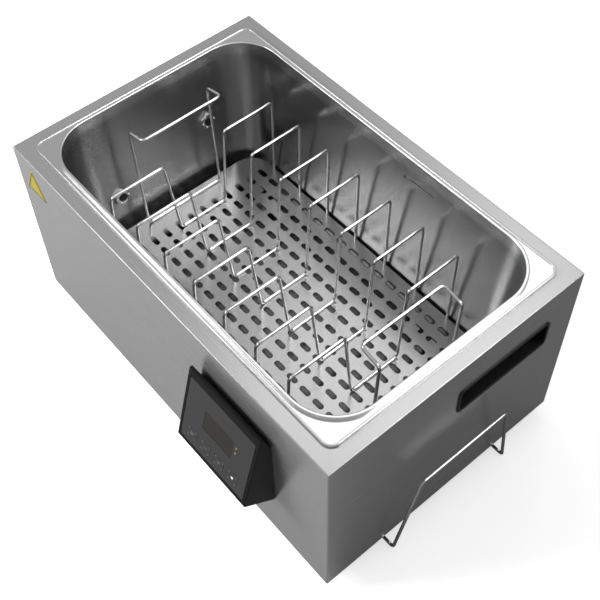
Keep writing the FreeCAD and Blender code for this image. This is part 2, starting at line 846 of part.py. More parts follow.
inlet_face = side_wall + 2
recess_floor = inlet_face - 16
flange = back_slab(50, 24, 4, side_wall, inlet_face)
flange = flange.cut([rod(1.6, V(x, side_wall - 1, inlet_z), V(x, inlet_face + 1, inlet_z)) for x in inlet_screw_x])
shell = back_slab(27, 19.4, 3, recess_floor - 3, inlet_face)
recess = back_slab(24, 16.4, 3, recess_floor, inlet_face + 1)
pins = []
for dx, dz in ((-7, -2), (7, -2), (0, 2)):
    pins.append(box(
        inlet_x + dx - 1, inlet_x + dx + 1, recess_floor - 10, recess_floor + 9,
        inlet_z + dz - 2, inlet_z + dz + 2,
    ))
save("mains_inlet", joined([joined([flange, shell]).cut(recess)] + pins))
for x in inlet_screw_x:
    head = rod(2.8, V(x, inlet_face, inlet_z), V(x, inlet_face + 2, inlet_z))
    wall_screws.append(joined([head, rod(1.5, V(x, side_wall - 6, inlet_z), V(x, inlet_face, inlet_z))]))
save("wall_screws", *wall_screws)


# ---------------------------------------------------------------- wiring inside the casing

def lead(points, diameter, bend=6.0):
    return bent_wire([V(*p) for p in points], bend, diameter)


pin_back = recess_floor - 10
block_top = casing_bottom + 12
mains = []
for number, (dx, dz) in enumerate(((-7, -2), (7, -2), (0, 2))):
    end_x = block_x + (number - 1) * 19.3
    low = 48 - 6 * number
    mains.append(lead(
        [
            (inlet_x + dx, pin_back, inlet_z + dz), (inlet_x + dx, pin_back - 14, inlet_z + dz),
            (end_x, block_y + 5 * (number - 1), low + 20), (end_x, block_y + 5 * (number - 1), block_top),
        ],
        2.6, 4.0,
    ))
save("mains_wires", *mains)

heater = []
for number in range(2):
    y = -20.0 + 8 * number
    reach = 220.0 - 5 * number
    low = 50.0 - 8 * number
    end_x = board_x + 55 + 8 * number
    heater.append(lead(
        [
            (200, y, 79.5), (reach, y, 79.5), (reach, y - 20, low),
            (end_x, board_y + 25, low), (end_x, board_y + 25, board_top),
        ],
        2.2, 3.0,
    ))
save("heater_leads", *heater)

sensor = []
for number, probe_name in enumerate(probe_places):
    place = probe_placement(probe_name)
    start = place.multVec(V(0, 0, -26))
    bend_at = place.multVec(V(0, 0, -31))
    down_x = bend_at.x
    along_y = -110.0 - 8 * number
    sensor.append(bent_wire(
        [
            start, bend_at, V(down_x, start.y, 60), V(down_x + 6, along_y, 46), V(board_x - 65, along_y, 46),
            V(board_x - 65 + 5 * number, along_y, board_top),
        ],
        3.0, 2.0,
    ))
save("probe_leads", *sensor)

cable_start = on_face.multVec(V(0, -25, -board_gap - board_sheet))
cable_next = on_face.multVec(V(0, -25, -board_gap - board_sheet - 6))
cable_points = [
    cable_start, cable_next, V(console_x, -side_wall - 8, 130), V(console_x, -side_wall + 10, 130),
    V(console_x, -134.5, 75), V(console_x, -134.5, board_top + 6),
]
half = 7.0
along = (cable_next - cable_start).normalize() * 0.5
across = V(0, -along.z, along.y)
ribbon_profile = Part.makePolygon([
    cable_start + V(-half, 0, 0) - across, cable_start + V(half, 0, 0) - across,
    cable_start + V(half, 0, 0) + across, cable_start + V(-half, 0, 0) + across,
    cable_start + V(-half, 0, 0) - across,
])
save("ribbon_cable", bent_path(cable_points, 4.0).makePipeShell([ribbon_profile], True, False))
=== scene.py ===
import math
import bmesh
import bpy
from mathutils import Matrix, Vector


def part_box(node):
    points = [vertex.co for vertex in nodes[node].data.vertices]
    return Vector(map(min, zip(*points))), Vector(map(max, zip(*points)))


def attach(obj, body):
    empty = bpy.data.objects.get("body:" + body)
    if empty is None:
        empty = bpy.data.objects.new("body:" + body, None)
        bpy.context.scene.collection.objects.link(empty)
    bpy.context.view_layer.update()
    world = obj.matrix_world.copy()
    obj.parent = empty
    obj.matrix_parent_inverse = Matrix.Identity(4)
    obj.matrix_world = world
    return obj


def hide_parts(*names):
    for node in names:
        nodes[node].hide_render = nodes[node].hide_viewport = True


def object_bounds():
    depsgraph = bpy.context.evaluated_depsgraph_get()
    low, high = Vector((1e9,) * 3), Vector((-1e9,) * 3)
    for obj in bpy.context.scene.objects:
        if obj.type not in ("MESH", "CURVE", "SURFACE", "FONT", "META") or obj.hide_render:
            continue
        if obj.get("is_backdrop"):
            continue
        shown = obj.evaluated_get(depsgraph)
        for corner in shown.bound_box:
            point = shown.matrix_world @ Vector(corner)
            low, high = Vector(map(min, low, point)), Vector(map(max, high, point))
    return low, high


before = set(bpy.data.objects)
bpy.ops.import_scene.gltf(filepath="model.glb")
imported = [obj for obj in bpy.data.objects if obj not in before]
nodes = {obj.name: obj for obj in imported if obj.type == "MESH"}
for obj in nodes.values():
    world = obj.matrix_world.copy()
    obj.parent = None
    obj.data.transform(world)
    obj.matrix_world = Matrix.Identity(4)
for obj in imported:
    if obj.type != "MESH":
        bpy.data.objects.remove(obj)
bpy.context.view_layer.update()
scene = bpy.context.scene


# ---------------------------------------------------------------------------------------------
# Casing: one box folded from brushed stainless sheet, open below, with the bath let into its deck.
# The grain runs along the sheet, and on the two ends it runs from front to back.

class Shade:
    """A socket in a node tree: sums on it add Math nodes, and node() adds any other."""

    def __init__(self, tree, socket=None):
        self.tree = tree
        self.socket = socket

    def node(self, kind, settings=None, inputs=None, output=0):
        made = self.tree.nodes.new(kind)
        for name, value in (settings or {}).items():
            setattr(made, name, value)
        for name, value in (inputs or {}).items():
            if isinstance(value, Shade):
                self.tree.links.new(value.socket, made.inputs[name])
            else:
                made.inputs[name].default_value = value
        return Shade(self.tree, made.outputs[output])

    def maths(self, operation, first, second=0.0):
        return self.node("ShaderNodeMath", {"operation": operation}, {0: first, 1: second})

    def __add__(self, other):
        return self.maths("ADD", self, other)

    __radd__ = __add__

    def __sub__(self, other):
        return self.maths("SUBTRACT", self, other)

    def __rsub__(self, other):
        return self.maths("SUBTRACT", other, self)

    def __mul__(self, other):
        return self.maths("MULTIPLY", self, other)

    __rmul__ = __mul__

    def mix(self, first, second):
        """Colour between first and second, by this value."""
        ends = {0: self, 6: first, 7: second}
        return self.node("ShaderNodeMix", {"data_type": "RGBA"}, ends, output=2)


def new_finish(name, constants):
    """A material with its Principled shader, and the Shade that its pattern starts from."""
    material = bpy.data.materials.new(name)
    material.use_nodes = True
    tree = material.node_tree
    shader = tree.nodes["Principled BSDF"]
    for socket, value in constants.items():
        shader.inputs[socket].default_value = value
    return material, shader, Shade(tree)


def feed(shader, socket, shade):
    shade.tree.links.new(shade.socket, shader.inputs[socket])


def grey(level):
    return (level, level, level)


def shades_of(colour, dark, light):
    """The colour times dark and the colour times light."""
    return [tuple(min(1.0, part * share) for part in colour) + (1.0,) for share in (dark, light)]


def object_point(start, scale, offset=(0, 0, 0)):
    """Object coordinates, stretched by scale along each axis, so that a pattern stays on the piece."""
    point = start.node("ShaderNodeTexCoord", output=3)
    inputs = {"Vector": point, "Location": offset, "Scale": scale}
    return start.node("ShaderNodeMapping", None, inputs)


def noise(point, detail=2.0, roughness=0.5):
    inputs = {"Vector": point, "Scale": 1.0, "Detail": detail, "Roughness": roughness}
    return point.node("ShaderNodeTexNoise", None, inputs)


def relief(height, strength):
    """Bump of a pattern, for a shader's Normal."""
    inputs = {"Strength": strength, "Distance": relief_depth, "Height": height}
    return height.node("ShaderNodeBump", None, inputs)


relief_depth = 0.0002
along_grain = 3.0
cloud_scale = (3.0, 5.0, 5.0)
cloud_offset = (1.7, 0.3, 0.9)
fine_share = 0.7
steel_shades = (0.98, 1.02)
steel_roughness_spread = 0.04


def brushed_steel(name, tone, roughness, grain, scratch, metallic=1.0, turned_ends=False, zones=None):
    """Stainless sheet with a drawn grain along X, and on turned ends along Y. A function zones
    gives pairs of a share over the surface and the tone that it leads to."""
    material, shader, start = new_finish(name, {"Metallic": metallic, "Specular IOR Level": 0.3})
    point = object_point(start, (along_grain, grain, grain))
    if turned_ends:
        along_y = object_point(start, (grain, along_grain, grain))
        normal = start.node("ShaderNodeNewGeometry", output=1)
        facing_x = start.node("ShaderNodeSeparateXYZ", None, {0: normal})
        ends = {0: start.maths("ABSOLUTE", facing_x), 4: point, 5: along_y}
        point = start.node("ShaderNodeMix", {"data_type": "VECTOR"}, ends, output=1)
    fine = noise(point, detail=6.0, roughness=0.7)
    cloud = noise(object_point(start, cloud_scale, cloud_offset))
    streak = fine * fine_share + cloud * (1 - fine_share)
    colour = streak.mix(*shades_of(grey(tone), *steel_shades))
    for share, other in (zones(start) if zones else ()):
        colour = share.mix(colour, streak.mix(*shades_of(grey(other), *steel_shades)))
    feed(shader, "Base Color", colour)
    feed(shader, "Roughness", roughness + (streak - 0.5) * steel_roughness_spread)
    feed(shader, "Normal", relief(fine, scratch))
    return material


def finish(node, material):
    """Gives a CAD node's object its material."""
    slots = nodes[node].data.materials
    slots.clear()
    slots.append(material)


finish("casing_shell", brushed_steel(
    "casing_brushed_steel", tone=0.50, roughness=0.27, grain=900.0, scratch=0.006, metallic=0.75,
    turned_ends=True,
))
casing_low, casing_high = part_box("casing_shell")
casing_middle = (casing_low + casing_high) / 2


# ---------------------------------------------------------------------------------------------
# Bath: a deep-drawn stainless tub with tapered walls, round corners and a round floor edge.
# Its rim has a bead round the outside, a sunk groove and a raised, rolled lip round the opening.

opening_half = Vector((0.254, 0.152))
opening_corner = 0.056
floor_half = Vector((0.233, 0.1305))
floor_corner = 0.033
floor_z = 0.082
floor_radius = 0.020
bath_depth = casing_high.z - floor_z
wall = 0.0012
mean_taper = 0.106
rim_half = Vector((0.265, 0.1625))
rim_corner = 0.013
bead_width = 0.003
lip_width = 0.0045
bead_radius = 0.0014
widest_radius = 0.48
crease = 0.0003
flange_edge = 0.0002
flange_bend = 0.001
lip_fall = 0.004
wall_middle_z = 0.200
lip_z = 0.288
bead_z = 0.2852
groove_z = 0.284
flange_z = 0.2828
corner_steps = 20
floor_steps = 10
bead_steps = 5


def round_ring(half, corner, z):
    """Points of a rectangle with round corners, anticlockwise at height z."""
    points = []
    for quarter, (sx, sy) in enumerate([(1, 1), (-1, 1), (-1, -1), (1, -1)]):
        for step in range(corner_steps + 1):
            turn = math.radians(90 * (quarter + step / corner_steps))
            points.append(Vector((
                casing_middle.x + sx * (half[0] - corner) + corner * math.cos(turn),
                casing_middle.y + sy * (half[1] - corner) + corner * math.sin(turn),
                z,
            )))
    return points


def tub_ring(z, grow=0.0):
    """Ring of the tapered wall at height z, moved out by grow."""
    share = (z - floor_z) / bath_depth
    half = floor_half + (opening_half - floor_half) * share + Vector((grow, grow))
    corner = floor_corner + (opening_corner - floor_corner) * share + grow
    return round_ring(half, corner, z)


def rim_ring(z, inset=0.0):
    """Ring of the rim's upright outside at height z, moved in by inset."""
    half = rim_half - Vector((inset, inset))
    return round_ring(half, rim_corner - inset, z)


def lip_ring(z, inset):
    """Ring of the lip at height z, moved in by inset from its upright outside."""
    return [Vector((p.x, p.y, z)) for p in tub_ring(lip_z, lip_width - inset)]


def floor_sweep(bottom, radius, grow):
    """Rings of the round edge between wall and floor, from the wall down."""
    lean = math.sqrt(1 + mean_taper * mean_taper)
    last = math.atan2(1, mean_taper)
    rings = []
    for step in range(floor_steps + 1):
        turn = last * (1 - step / floor_steps)
        z = bottom + radius - radius * math.cos(turn)
        centre = mean_taper * radius - radius * lean
        inset = centre + radius * math.sin(turn) - mean_taper * (z - bottom)
        rings.append(tub_ring(z, grow + inset))
    return rings


def bead_sweep(low, high, width, make_ring):
    """Rings over a rounded bead: up its outside, over the top and down its inside."""
    radius = min(bead_radius, width * widest_radius)
    turns = [math.pi / 2 * step / bead_steps for step in range(bead_steps + 1)]
    rings = [make_ring(low, 0.0)]
    for turn in turns:
        rings.append(make_ring(high - radius + radius * math.sin(turn), radius - radius * math.cos(turn)))
    for turn in reversed(turns):
        inset = width - radius + radius * math.cos(turn)
        rings.append(make_ring(high - radius + radius * math.sin(turn), inset))
    return rings


def shell_from_rings(name, rings):
    """Closed smooth mesh through a list of rings with equal counts, capped at both ends."""
    mesh = bmesh.new()
    rows = [[mesh.verts.new(p) for p in ring] for ring in rings]
    count = len(rows[0])
    for row, following in zip(rows, rows[1:]):
        for k in range(count):
            n = (k + 1) % count
            mesh.faces.new((row[k], row[n], following[n], following[k]))
    mesh.faces.new(reversed(rows[0]))
    mesh.faces.new(rows[-1])
    bmesh.ops.recalc_face_normals(mesh, faces=mesh.faces)
    for face in mesh.faces:
        face.smooth = True
    data = bpy.data.meshes.new(name)
    mesh.to_mesh(data)
    mesh.free()
    data.set_sharp_from_angle(angle=math.radians(40))
    piece = bpy.data.objects.new(name, data)
    scene.collection.objects.link(piece)
    return piece


rings = floor_sweep(floor_z - wall, floor_radius + wall, wall)[::-1]
rings += [tub_ring(flange_z - flange_bend, wall), tub_ring(flange_z, wall), rim_ring(flange_z)]
rings += bead_sweep(flange_z + flange_edge, bead_z, bead_width, rim_ring)
rings += [rim_ring(groove_z, bead_width), rim_ring(groove_z, bead_width + crease)]
rings.append(lip_ring(groove_z, -crease))
rings += bead_sweep(groove_z, lip_z, lip_width, lip_ring)
rings += [tub_ring(lip_z - lip_fall), tub_ring(wall_middle_z)]
rings += floor_sweep(floor_z, floor_radius, 0.0)
bath = shell_from_rings("bath_shell", rings)


def ramp(value, first, last):
    """0 where the value is first, 1 where it is last, and a share in between."""
    return value.node("ShaderNodeMapRange", None, {0: value, 1: first, 2: last, 3: 0.0, 4: 1.0})


polished_tone = 0.78
polish_from_to_z = (0.270, 0.283)
# Tone of the bath's floor under the rack's plate: painted shade, where the plate shades the floor.
painted_shade_tone = 0.10
painted_shade_from_to_z = (0.098, 0.094)
painted_shade_from_to_x = (0.208, 0.200)
painted_shade_from_to_y = (0.131, 0.128)


def bath_zones(start):
    """The rim is polished, and the floor under the rack's plate is painted darker as the plate's shade."""
    place = start.node("ShaderNodeTexCoord", output=3)
    x, y, z = (start.node("ShaderNodeSeparateXYZ", None, {0: place}, output=k) for k in range(3))
    rim = ramp(z, *polish_from_to_z)
    low = ramp(z, *painted_shade_from_to_z)
    near_x = ramp(start.maths("ABSOLUTE", x - casing_middle.x), *painted_shade_from_to_x)
    near_y = ramp(start.maths("ABSOLUTE", y - casing_middle.y), *painted_shade_from_to_y)
    # Painted shade: the floor under the plate takes the dark tone.
    return (rim, polished_tone), (low * near_x * near_y, painted_shade_tone)


bath.data.materials.append(brushed_steel(
    "bath_drawn_steel", tone=0.44, roughness=0.26, grain=700.0, scratch=0.003, turned_ends=True,
    zones=bath_zones,
))
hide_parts("tank")
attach(bath, "bath")


# ---------------------------------------------------------------------------------------------
# Seals: black rubber, cut or moulded. One lies under the bath's rim, one is round each sensor, and
# one is behind the console.

def moulded(name, colour, roughness, grain=900.0, strength=0.15):
    """Moulded plastic or rubber with a fine spark-eroded texture."""
    material, shader, start = new_finish(name, {"Specular IOR Level": 0.3})
    speckle = noise(object_point(start, (grain, grain, grain)), detail=3.0)
    wide = noise(object_point(start, (25.0, 25.0, 25.0)))
    tone = speckle * 0.6 + wide * 0.4
    feed(shader, "Base Color", tone.mix(*shades_of(colour, 0.8, 1.2)))
    feed(shader, "Roughness", roughness + (tone - 0.5) * 0.2)
    if strength:
        feed(shader, "Normal", relief(speckle, strength))
    return material


seal_rubber = moulded("seal_rubber", grey(0.03), 0.6)
for node in ("tank_seal", "probe_seals", "console_gasket"):
    finish(node, seal_rubber)


# ---------------------------------------------------------------------------------------------
# Sensors: two black probes through the left end of the bath, each held by a bright machined nut.
# The nut's crown is a ring of rounded prongs round the probe's tip.

def ring_tree():
    """Copies of one small piece in a ring, each turned on by an equal step."""
    tree = bpy.data.node_groups.new("ring_of_marks", "GeometryNodeTree")
    face = tree.interface
    face.new_socket("Mark", in_out="INPUT", socket_type="NodeSocketGeometry")
    face.new_socket("Ring radius", in_out="INPUT", socket_type="NodeSocketFloat")
    face.new_socket("Marks", in_out="INPUT", socket_type="NodeSocketInt")
    face.new_socket("Finish", in_out="INPUT", socket_type="NodeSocketMaterial")
    face.new_socket("Ring", in_out="OUTPUT", socket_type="NodeSocketGeometry")
    given = tree.nodes.new("NodeGroupInput").outputs
    mark, radius, count, paint = (Shade(tree, socket) for socket in list(given)[:4])
    ring = mark.node("GeometryNodeMeshCircle", None, {"Vertices": count, "Radius": radius})
    step = mark.maths("DIVIDE", 2 * math.pi, count)
    turn = mark.node("ShaderNodeCombineXYZ", None, {"Z": mark.node("GeometryNodeInputIndex") * step})
    placed = {"Points": ring, "Instance": mark, "Rotation": turn}
    copies = mark.node("GeometryNodeInstanceOnPoints", None, placed)
    real = mark.node("GeometryNodeRealizeInstances", None, {"Geometry": copies})
    done = mark.node("GeometryNodeSetMaterial", None, {"Geometry": real, "Material": paint})
    tree.links.new(done.socket, tree.nodes.new("NodeGroupOutput").inputs[0])
    return tree


def made_by_tree(name, data, tree, values):
    """Runs a Geometry Nodes tree on a mesh and keeps the result as a plain mesh of one finish."""
    base = bpy.data.objects.new(name + "_base", data)
    scene.collection.objects.link(base)
    modifier = base.modifiers.new("tree", "NODES")
    modifier.node_group = tree
    for item in tree.interface.items_tree:
        if item.in_out == "INPUT" and item.name in values:
            modifier[item.identifier] = values[item.name]
    seen = base.evaluated_get(bpy.context.evaluated_depsgraph_get())
    result = bpy.data.meshes.new_from_object(seen)
    bpy.data.objects.remove(base)
    result.materials.clear()
    result.materials.append(values["Finish"])
    result.polygons.foreach_set("material_index", [0] * len(result.polygons))
    piece = bpy.data.objects.new(name, result)
    scene.collection.objects.link(piece)
    return piece


def finished_mesh(name, mesh):
    data = bpy.data.meshes.new(name)
    mesh.to_mesh(data)
    mesh.free()
    return data


def bright_metal(name, tone, roughness):
    """Polished metal with faint drawing marks and a few dull patches."""
    material, shader, start = new_finish(name, {"Metallic": 1.0})
    marks = noise(object_point(start, (160.0, 160.0, 160.0)), detail=3.0)
    feed(shader, "Base Color", marks.mix(*shades_of(grey(tone), 0.92, 1.06)))
    feed(shader, "Roughness", roughness + (marks - 0.5) * 0.10)
    feed(shader, "Normal", relief(marks, 0.05))
    return material


ring_of_marks = ring_tree()
nut_chrome = bright_metal("nut_chrome", 0.85, 0.12)
sensor_black = moulded("sensor_black", grey(0.02), 0.35)
finish("probe_nuts", nut_chrome)
finish("probe_low", sensor_black)
finish("probe_high", sensor_black)
end_taper = 0.105
prong_radius = 0.0019
crown_radius = 0.0085
crown_height = 0.0045
for word, y, z in (("low", -0.0755, 0.152), ("high", 0.071, 0.190)):
    inside = floor_half.x + end_taper * (z - floor_z)
    turned = Vector((1, 0, end_taper)).to_track_quat("Z", "Y").to_matrix().to_4x4()
    place = Matrix.Translation((casing_middle.x - inside, casing_middle.y + y, z)) @ turned
    prong = bmesh.new()
    bmesh.ops.create_uvsphere(prong, u_segments=16, v_segments=10, radius=prong_radius)
    for face in prong.faces:
        face.smooth = True
    crown = made_by_tree(f"probe_crown_{word}", finished_mesh("prong", prong), ring_of_marks, {
        "Ring radius": crown_radius, "Marks": 6, "Finish": nut_chrome,
    })
    crown.data.transform(place @ Matrix.Translation((0, 0, crown_height)))
    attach(crown, "bath")


# ---------------------------------------------------------------------------------------------
# Marks on the steel: a level line etched into the bath's back wall, and a plain yellow warning
# triangle of printed film on the front. The triangle's dark edge stands just proud of it.

finish("level_mark", moulded("level_ink", (0.06, 0.06, 0.065), 0.5))
finish("front_label", moulded("label_yellow", (0.40, 0.33, 0.045), 0.5, strength=0.0))
label_low, label_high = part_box("front_label")
label_middle_x = (label_low.x + label_high.x) / 2
label_centre_z = label_low.z + (label_high.z - label_low.z) / 3
label_corners = (
    (label_low.x, label_low.z), (label_high.x, label_low.z), (label_middle_x, label_high.z),
)
edge_outer = 0.97
edge_inner = 0.84
edge_front = label_low.y - 0.00005
edge_back = label_low.y + 0.00002
outline = bmesh.new()


def label_ring(y, share):
    """The label's three corners at depth y, drawn in towards its centre by share."""
    return [outline.verts.new((
        label_middle_x + (x - label_middle_x) * share, y, label_centre_z + (z - label_centre_z) * share,
    )) for x, z in label_corners]


front_out = label_ring(edge_front, edge_outer)
front_in = label_ring(edge_front, edge_inner)
back_out = label_ring(edge_back, edge_outer)
back_in = label_ring(edge_back, edge_inner)
for first, second in ((front_out, front_in), (front_in, back_in), (back_in, back_out), (back_out, front_out)):
    for k in range(3):
        n = (k + 1) % 3
        outline.faces.new((first[k], first[n], second[n], second[k]))
bmesh.ops.recalc_face_normals(outline, faces=outline.faces)
edge = bpy.data.objects.new("label_edge", finished_mesh("label_edge", outline))
scene.collection.objects.link(edge)
edge.data.materials.append(moulded("label_edge", (0.03, 0.028, 0.01), 0.5))
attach(edge, "bath")


# ---------------------------------------------------------------------------------------------
# Inside and underneath: the heater pressed to the bath's floor, the bottom cover, and the screws,
# nuts, studs, posts and sockets that hold them. Sheet is zinc-coated steel, screws are zinc-plated.

def plated(name, colour, roughness, patch):
    """Bare or plated metal with crystal patches of the given size, as on zinc-coated sheet."""
    material, shader, start = new_finish(name, {"Metallic": 1.0})
    inputs = {"Vector": object_point(start, (1 / patch, 1 / patch, 1 / patch)), "Scale": 1.0}
    cells = start.node("ShaderNodeTexVoronoi", None, inputs, output=1)
    patches = start.node("ShaderNodeSeparateXYZ", None, {0: cells})
    feed(shader, "Base Color", patches.mix(*shades_of(colour, 0.85, 1.1)))
    feed(shader, "Roughness", roughness + (patches - 0.5) * 0.1)
    return material


galvanised = plated("galvanised_sheet", (0.50, 0.51, 0.52), 0.38, patch=0.008)
for node in ("base_plate", "press_plate", "support_posts"):
    finish(node, galvanised)
zinc = plated("zinc_plating", (0.62, 0.62, 0.60), 0.30, patch=0.0015)
for node in ("base_screws", "foot_screws", "fastening_nuts", "wall_screws", "rim_studs", "socket_rivets"):
    finish(node, zinc)
finish("heater_mat", moulded("silicone_red", (0.35, 0.06, 0.03), 0.65, grain=500.0))
finish("insulation_board", moulded("pressed_fibre", (0.70, 0.68, 0.62), 0.9, grain=250.0, strength=0.5))
part_black = moulded("part_black", grey(0.015), 0.35)
for node in ("bracket_sockets", "thermal_cutout", "mains_inlet"):
    finish(node, part_black)


# ---------------------------------------------------------------------------------------------
# Electronics and wiring: the power board on its standoffs, the console's board with the display,
# and the leads between them, the heater, the sensors and the inlet.

board_green = moulded("board_green", (0.012, 0.09, 0.03), 0.3, grain=300.0)
brass = plated("turned_brass", (0.70, 0.50, 0.22), 0.28, patch=0.0020)
nylon = moulded("nylon_white", (0.66, 0.66, 0.63), 0.5)
jacket = moulded("wire_jacket", (0.30, 0.03, 0.02), 0.45)
for material, made_of_it in (
    (board_green, ("power_board", "console_board")),
    (part_black, ("relays", "display_module")),
    (brass, ("key_domes", "earth_stud")),
    (nylon, ("board_standoffs", "terminal_block")),
    (jacket, ("mains_wires", "heater_leads", "probe_leads")),
):
    for node in made_of_it:
        finish(node, material)
finish("transformer", moulded("core_varnish", (0.03, 0.03, 0.032), 0.45, grain=200.0))
finish("ribbon_cable", moulded("ribbon_grey", (0.17, 0.17, 0.18), 0.5))


# ---------------------------------------------------------------------------------------------
# Console: a wedge of textured black plastic screwed to the front. A panel of grey film is let into
# its sloping face, with a tinted window for the display and two small lamps beside it.

panel_film = moulded("panel_grey_film", (0.036, 0.036, 0.037), 0.42, strength=0.02)
finish("console_housing", moulded("console_black_plastic", grey(0.0008), 0.5))
finish("console_fascia", panel_film)
finish("display_window", moulded("window_tint", (0.020, 0.017, 0.013), 0.3, strength=0.0))
finish("indicator_leds", moulded("lamp_lens", (0.28, 0.25, 0.13), 0.3))


# ---------------------------------------------------------------------------------------------
# Keys: four small keys under the same film. Each is printed with four corner marks and a plain sign
# inside them, in thin ink that moves with its key. The power key's sign is a bright dot.

def add_block(mesh, low, high):
    """Closed box between two corners."""
    made = bmesh.ops.create_cube(mesh, size=1.0)["verts"]
    size = Vector(high) - Vector(low)
    middle = (Vector(high) + Vector(low)) / 2
    for vert in made:
        vert.co = Vector(vert.co[k] * size[k] + middle[k] for k in range(3))


def add_disc(mesh, radius, depth):
    """Closed disc standing on the origin, with the second material."""
    before = len(mesh.faces)
    bmesh.ops.create_cone(
        mesh, cap_ends=True, segments=24, radius1=radius, radius2=radius, depth=depth,
        matrix=Matrix.Translation((0, 0, depth / 2)),
    )
    mesh.faces.ensure_lookup_table()
    for face in mesh.faces[before:]:
        face.material_index = 1


face_depth = 0.0287
face_height = 0.1051
face_lean = math.atan2(face_depth, face_height)
face_middle = Vector((casing_middle.x + 0.1372, casing_low.y - 0.02715, 0.18775))
face_frame = Matrix.Translation(face_middle) @ Matrix.Rotation(math.pi / 2 - face_lean, 4, "X")
key_row = -0.0322
key_print = moulded("key_print", grey(0.22), 0.5)
power_print = moulded("power_print", grey(0.75), 0.5)
ink_depth = 0.00004
corner_offset = 0.0066
mark_length = 0.0026
mark_width = 0.0004
stroke = 0.0003
arm = 0.0022
dot_radius = 0.0019
lying_bar = ((-arm, -stroke), (arm, stroke))
signs = {
    "set_key": [((-0.0024, v), (0.0024, v + 0.0005)) for v in (0.0008, -0.0003, -0.0014)],
    "minus_key": [lying_bar],
    "plus_key": [lying_bar, ((-stroke, stroke), (stroke, arm)), ((-stroke, -arm), (stroke, -stroke))],
    "power_key": [],
}
eighth_turn = Matrix.Rotation(math.pi / 4, 3, "Z")
for key, bars in signs.items():
    finish(key, panel_film)
    low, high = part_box(key)
    key_u = (low.x + high.x) / 2 - face_middle.x
    key_top = max((face_frame.inverted() @ v.co).z for v in nodes[key].data.vertices)
    corner = bmesh.new()
    add_block(corner, (-mark_length, -mark_width, 0), (0, 0, ink_depth))
    add_block(corner, (-mark_width, -mark_length, 0), (0, -mark_width, ink_depth))
    bmesh.ops.rotate(corner, verts=corner.verts, cent=(0, 0, 0), matrix=eighth_turn.inverted())
    prints = made_by_tree(key + "_print", finished_mesh("corner_mark", corner), ring_of_marks, {
        "Ring radius": corner_offset * math.sqrt(2), "Marks": 4, "Finish": key_print,
    })
    prints.data.materials.append(power_print)
    whole = bmesh.new()
    whole.from_mesh(prints.data)
    bmesh.ops.rotate(whole, verts=whole.verts, cent=(0, 0, 0), matrix=eighth_turn)
    for (u0, v0), (u1, v1) in bars:
        add_block(whole, (u0, v0, 0), (u1, v1, ink_depth))
    if not bars:
        add_disc(whole, dot_radius, ink_depth)
    whole.transform(face_frame @ Matrix.Translation((key_u, key_row, key_top)))
    whole.to_mesh(prints.data)
    whole.free()
    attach(prints, key)


# ---------------------------------------------------------------------------------------------
# Grips and feet: a black moulded pocket let into each end for lifting, and four rubber feet screwed
# up under the bottom cover.

grip_black = moulded("grip_black_plastic", grey(0.006), 0.42)
finish("grip_left", grip_black)
finish("grip_right", grip_black)
finish("rubber_feet", moulded("foot_rubber", grey(0.02), 0.7))


# ---------------------------------------------------------------------------------------------
# Rack plate: slotted stainless sheet, satin, its long edges folded down. It stands on four small
# channels that hold it off the bath's floor.

plate_steel = brushed_steel(
    "plate_satin_steel", tone=0.41, roughness=0.25, grain=500.0, scratch=0.01, metallic=0.95
)
finish("perforated_plate", plate_steel)
finish("plate_feet", plate_steel)
plate_low, plate_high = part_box("perforated_plate")
rack_middle = (plate_low + plate_high) / 2
plate_top = plate_high.z


# ---------------------------------------------------------------------------------------------
# Rack wires: polished round rod, bent cold and spot-welded to the plate. Seven dividers have two
# humps and a valley each, and two closed loops are the lifting handles.

def wire_tree():
    """Rounds the corners of a line of points and sweeps round wire along it, in a row of copies."""
    tree = bpy.data.node_groups.new("bent_wire", "GeometryNodeTree")
    face = tree.interface
    face.new_socket("Corners", in_out="INPUT", socket_type="NodeSocketGeometry")
    for name in ("Wire diameter", "Bend radius", "Copy pitch"):
        face.new_socket(name, in_out="INPUT", socket_type="NodeSocketFloat")
    face.new_socket("Copies", in_out="INPUT", socket_type="NodeSocketInt").default_value = 1
    face.new_socket("Finish", in_out="INPUT", socket_type="NodeSocketMaterial")
    face.new_socket("Wires", in_out="OUTPUT", socket_type="NodeSocketGeometry")
    given = tree.nodes.new("NodeGroupInput").outputs
    corners, diameter, bend, pitch, count, paint = (Shade(tree, socket) for socket in list(given)[:6])
    line = corners.node("GeometryNodeMeshToCurve", None, {"Mesh": corners})
    bends = {"Curve": line, "Radius": bend, "Count": 8, "Limit Radius": True}
    bent = corners.node("GeometryNodeFilletCurve", {"mode": "POLY"}, bends)
    outline = {"Resolution": 20, "Radius": diameter * 0.5}
    section = corners.node("GeometryNodeCurvePrimitiveCircle", None, outline)
    swept = {"Curve": bent, "Profile Curve": section, "Fill Caps": True}
    rod = corners.node("GeometryNodeCurveToMesh", None, swept)
    step = corners.node("ShaderNodeCombineXYZ", None, {"X": pitch})
    row = corners.node("GeometryNodeMeshLine", None, {"Count": count, "Offset": step})
    copies = corners.node("GeometryNodeInstanceOnPoints", None, {"Points": row, "Instance": rod})
    real = corners.node("GeometryNodeRealizeInstances", None, {"Geometry": copies})
    smooth = corners.node("GeometryNodeSetShadeSmooth", None, {"Geometry": real})
    done = corners.node("GeometryNodeSetMaterial", None, {"Geometry": smooth, "Material": paint})
    tree.links.new(done.socket, tree.nodes.new("NodeGroupOutput").inputs[0])
    return tree


def corner_line(name, points, closed=False):
    """Mesh of single edges through the points."""
    edges = [(k, k + 1) for k in range(len(points) - 1)]
    if closed:
        edges.append((len(points) - 1, 0))
    data = bpy.data.meshes.new(name)
    data.from_pydata(points, edges, [])
    return data


